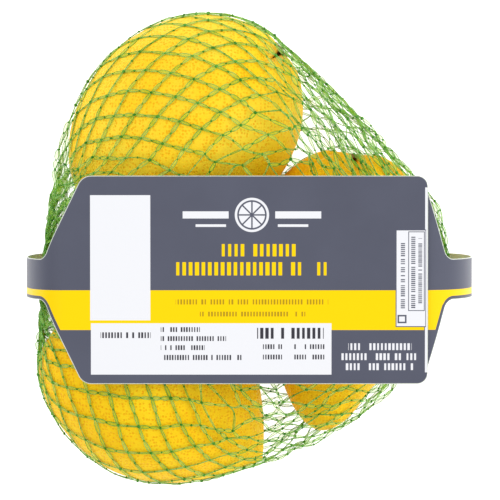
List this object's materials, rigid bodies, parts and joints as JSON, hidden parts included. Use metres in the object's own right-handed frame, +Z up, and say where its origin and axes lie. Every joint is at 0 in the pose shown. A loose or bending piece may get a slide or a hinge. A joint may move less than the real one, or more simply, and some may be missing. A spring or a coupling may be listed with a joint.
{
  "type": "pack of lemons",
  "caption": "Net pack of whole lemons lying on its back, with a printed film band round its middle whose narrow straps pass the gathered ends of the net.",
  "frame": {"origin": "the middle of the pack's box, on the surface that it lies on", "axes": "+Z up through the front panel, +Y towards the upper lemon along the pack's longest side, +X along the film band to its lapped strap"},
  "size_m": [0.1419, 0.1517, 0.07],
  "materials": {
    "net_and_lemons": "waxy yellow lemon rind under a fine green knitted net",
    "printed_film": "satin printed film, grey with a yellow band and white panels"
  },
  "bodies": {
    "root": {"netted_lemons": "net_and_lemons", "label_band": "printed_film"}
  },
  "joints": []
}
